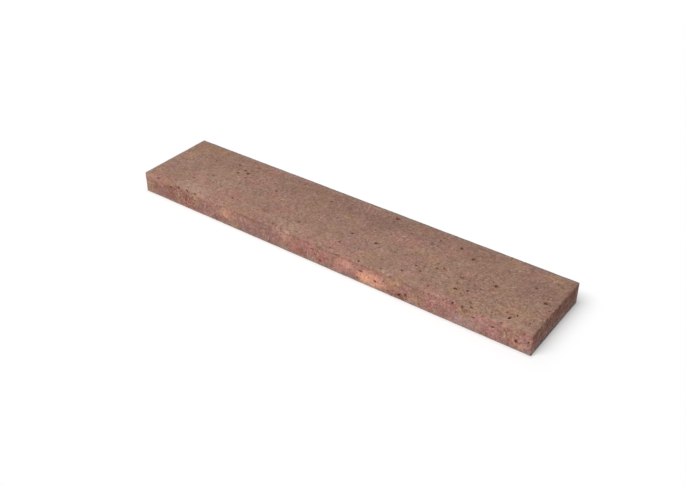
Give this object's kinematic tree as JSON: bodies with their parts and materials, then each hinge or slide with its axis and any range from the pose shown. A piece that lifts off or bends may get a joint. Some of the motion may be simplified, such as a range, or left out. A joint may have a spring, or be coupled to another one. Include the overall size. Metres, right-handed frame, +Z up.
{
  "type": "concrete edging",
  "caption": "Flat rectangular plank of red-brown concrete with lightly rounded arrises, set on edge to border a path, lawn or bed.",
  "frame": {"origin": "centre of the broad face that the plank lies on", "axes": "+X along the length, +Y across the breadth (upright once the plank is laid on edge), +Z up through the thickness"},
  "size_m": [1, 0.2, 0.05],
  "materials": {
    "red_brown_concrete": "matte"
  },
  "bodies": {
    "root": {"edging_slab": "red_brown_concrete"}
  },
  "joints": []
}
